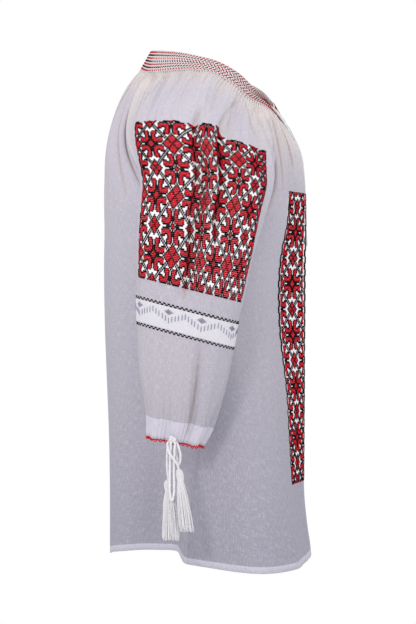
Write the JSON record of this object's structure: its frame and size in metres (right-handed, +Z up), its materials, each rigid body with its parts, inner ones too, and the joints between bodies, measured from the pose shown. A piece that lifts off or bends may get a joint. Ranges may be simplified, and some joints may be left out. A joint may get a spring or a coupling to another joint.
{
  "type": "embroidered folk blouse",
  "caption": "Long-sleeved cotton voile folk blouse with a smocked neckband, cross-stitched raglan sleeves and front strips, drawstring cuffs and tasselled ties, filled out as if worn.",
  "frame": {"origin": "middle of the neck opening at shoulder height, where the wearer's shoulders or a hanger hold the blouse", "axes": "+Z up, +Y to the back of the blouse, +X to the wearer's left; the front faces -Y"},
  "size_m": [0.583, 0.2769, 0.679],
  "materials": {
    "voile": "sheer plain-woven cotton, slightly slubbed",
    "smocking": "pleated cotton under rows of red and black stitches",
    "embroidery": "cross stitch in red and black cotton on white",
    "satin": "raised white satin stitch between two black zigzag lines",
    "edging": "crocheted red thread",
    "cord": "twisted white cotton cord and loose tassel threads"
  },
  "bodies": {
    "root": {"front": "voile", "back": "voile", "neckband": "smocking", "sleeve_right": "voile", "sleeve_left": "voile", "sleeve_panel_right": "embroidery", "satin_band_right": "satin", "front_strip_right": "embroidery", "sleeve_panel_left": "embroidery", "satin_band_left": "satin", "front_strip_left": "embroidery", "cuff_edging_right": "edging", "cuff_edging_left": "edging", "cuff_tail_front_right": "cord", "cuff_tail_back_right": "cord", "cuff_ear_long_right": "cord", "cuff_ear_short_right": "cord", "cuff_tail_front_left": "cord", "cuff_tail_back_left": "cord", "cuff_ear_long_left": "cord", "cuff_ear_short_left": "cord", "neck_cord_right": "cord", "neck_tail_right": "cord", "neck_cord_left": "cord", "neck_tail_left": "cord", "cuff_knot_right": "cord", "cuff_tassel_front_right": "cord", "cuff_tassel_back_right": "cord", "cuff_knot_left": "cord", "cuff_tassel_front_left": "cord", "cuff_tassel_back_left": "cord", "neck_tassel_right": "cord", "neck_tassel_left": "cord", "neck_knot": "cord"}
  },
  "joints": []
}
